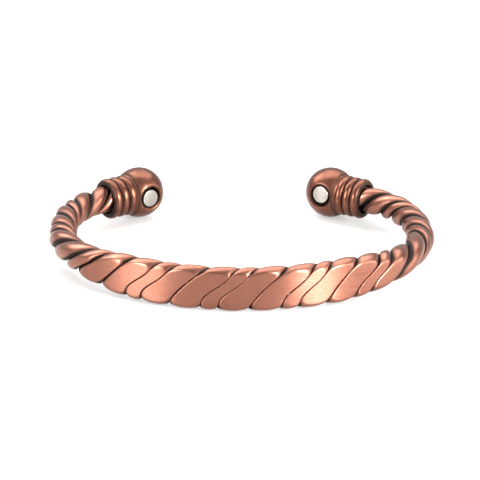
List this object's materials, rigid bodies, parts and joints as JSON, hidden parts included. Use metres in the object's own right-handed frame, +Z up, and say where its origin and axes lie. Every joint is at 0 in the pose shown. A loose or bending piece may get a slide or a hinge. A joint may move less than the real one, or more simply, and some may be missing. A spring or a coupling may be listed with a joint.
{
  "type": "magnetic bracelet",
  "caption": "Open cuff bracelet of three twisted copper wires rolled flat at the front, with ribbed ball ends that each hold a small disc magnet.",
  "frame": {"origin": "centre of the box on the table that the cuff lies on", "axes": "+X to the right across the flat front, +Y from the front to the open gap, +Z up"},
  "size_m": [0.068, 0.0588, 0.0092],
  "materials": {
    "copper_wire": "satin copper, brushed on the rolled flats, dark in the grooves",
    "cast_copper": "antiqued cast copper, dark in the rib grooves, rubbed bright on the crowns",
    "plated_magnet": "satin nickel plate"
  },
  "bodies": {
    "root": {"thick_wire_1": "copper_wire", "thick_wire_2": "copper_wire", "thin_wire": "copper_wire", "ball_end_left": "cast_copper", "ball_end_right": "cast_copper", "magnet_left": "plated_magnet", "magnet_right": "plated_magnet"}
  },
  "joints": []
}
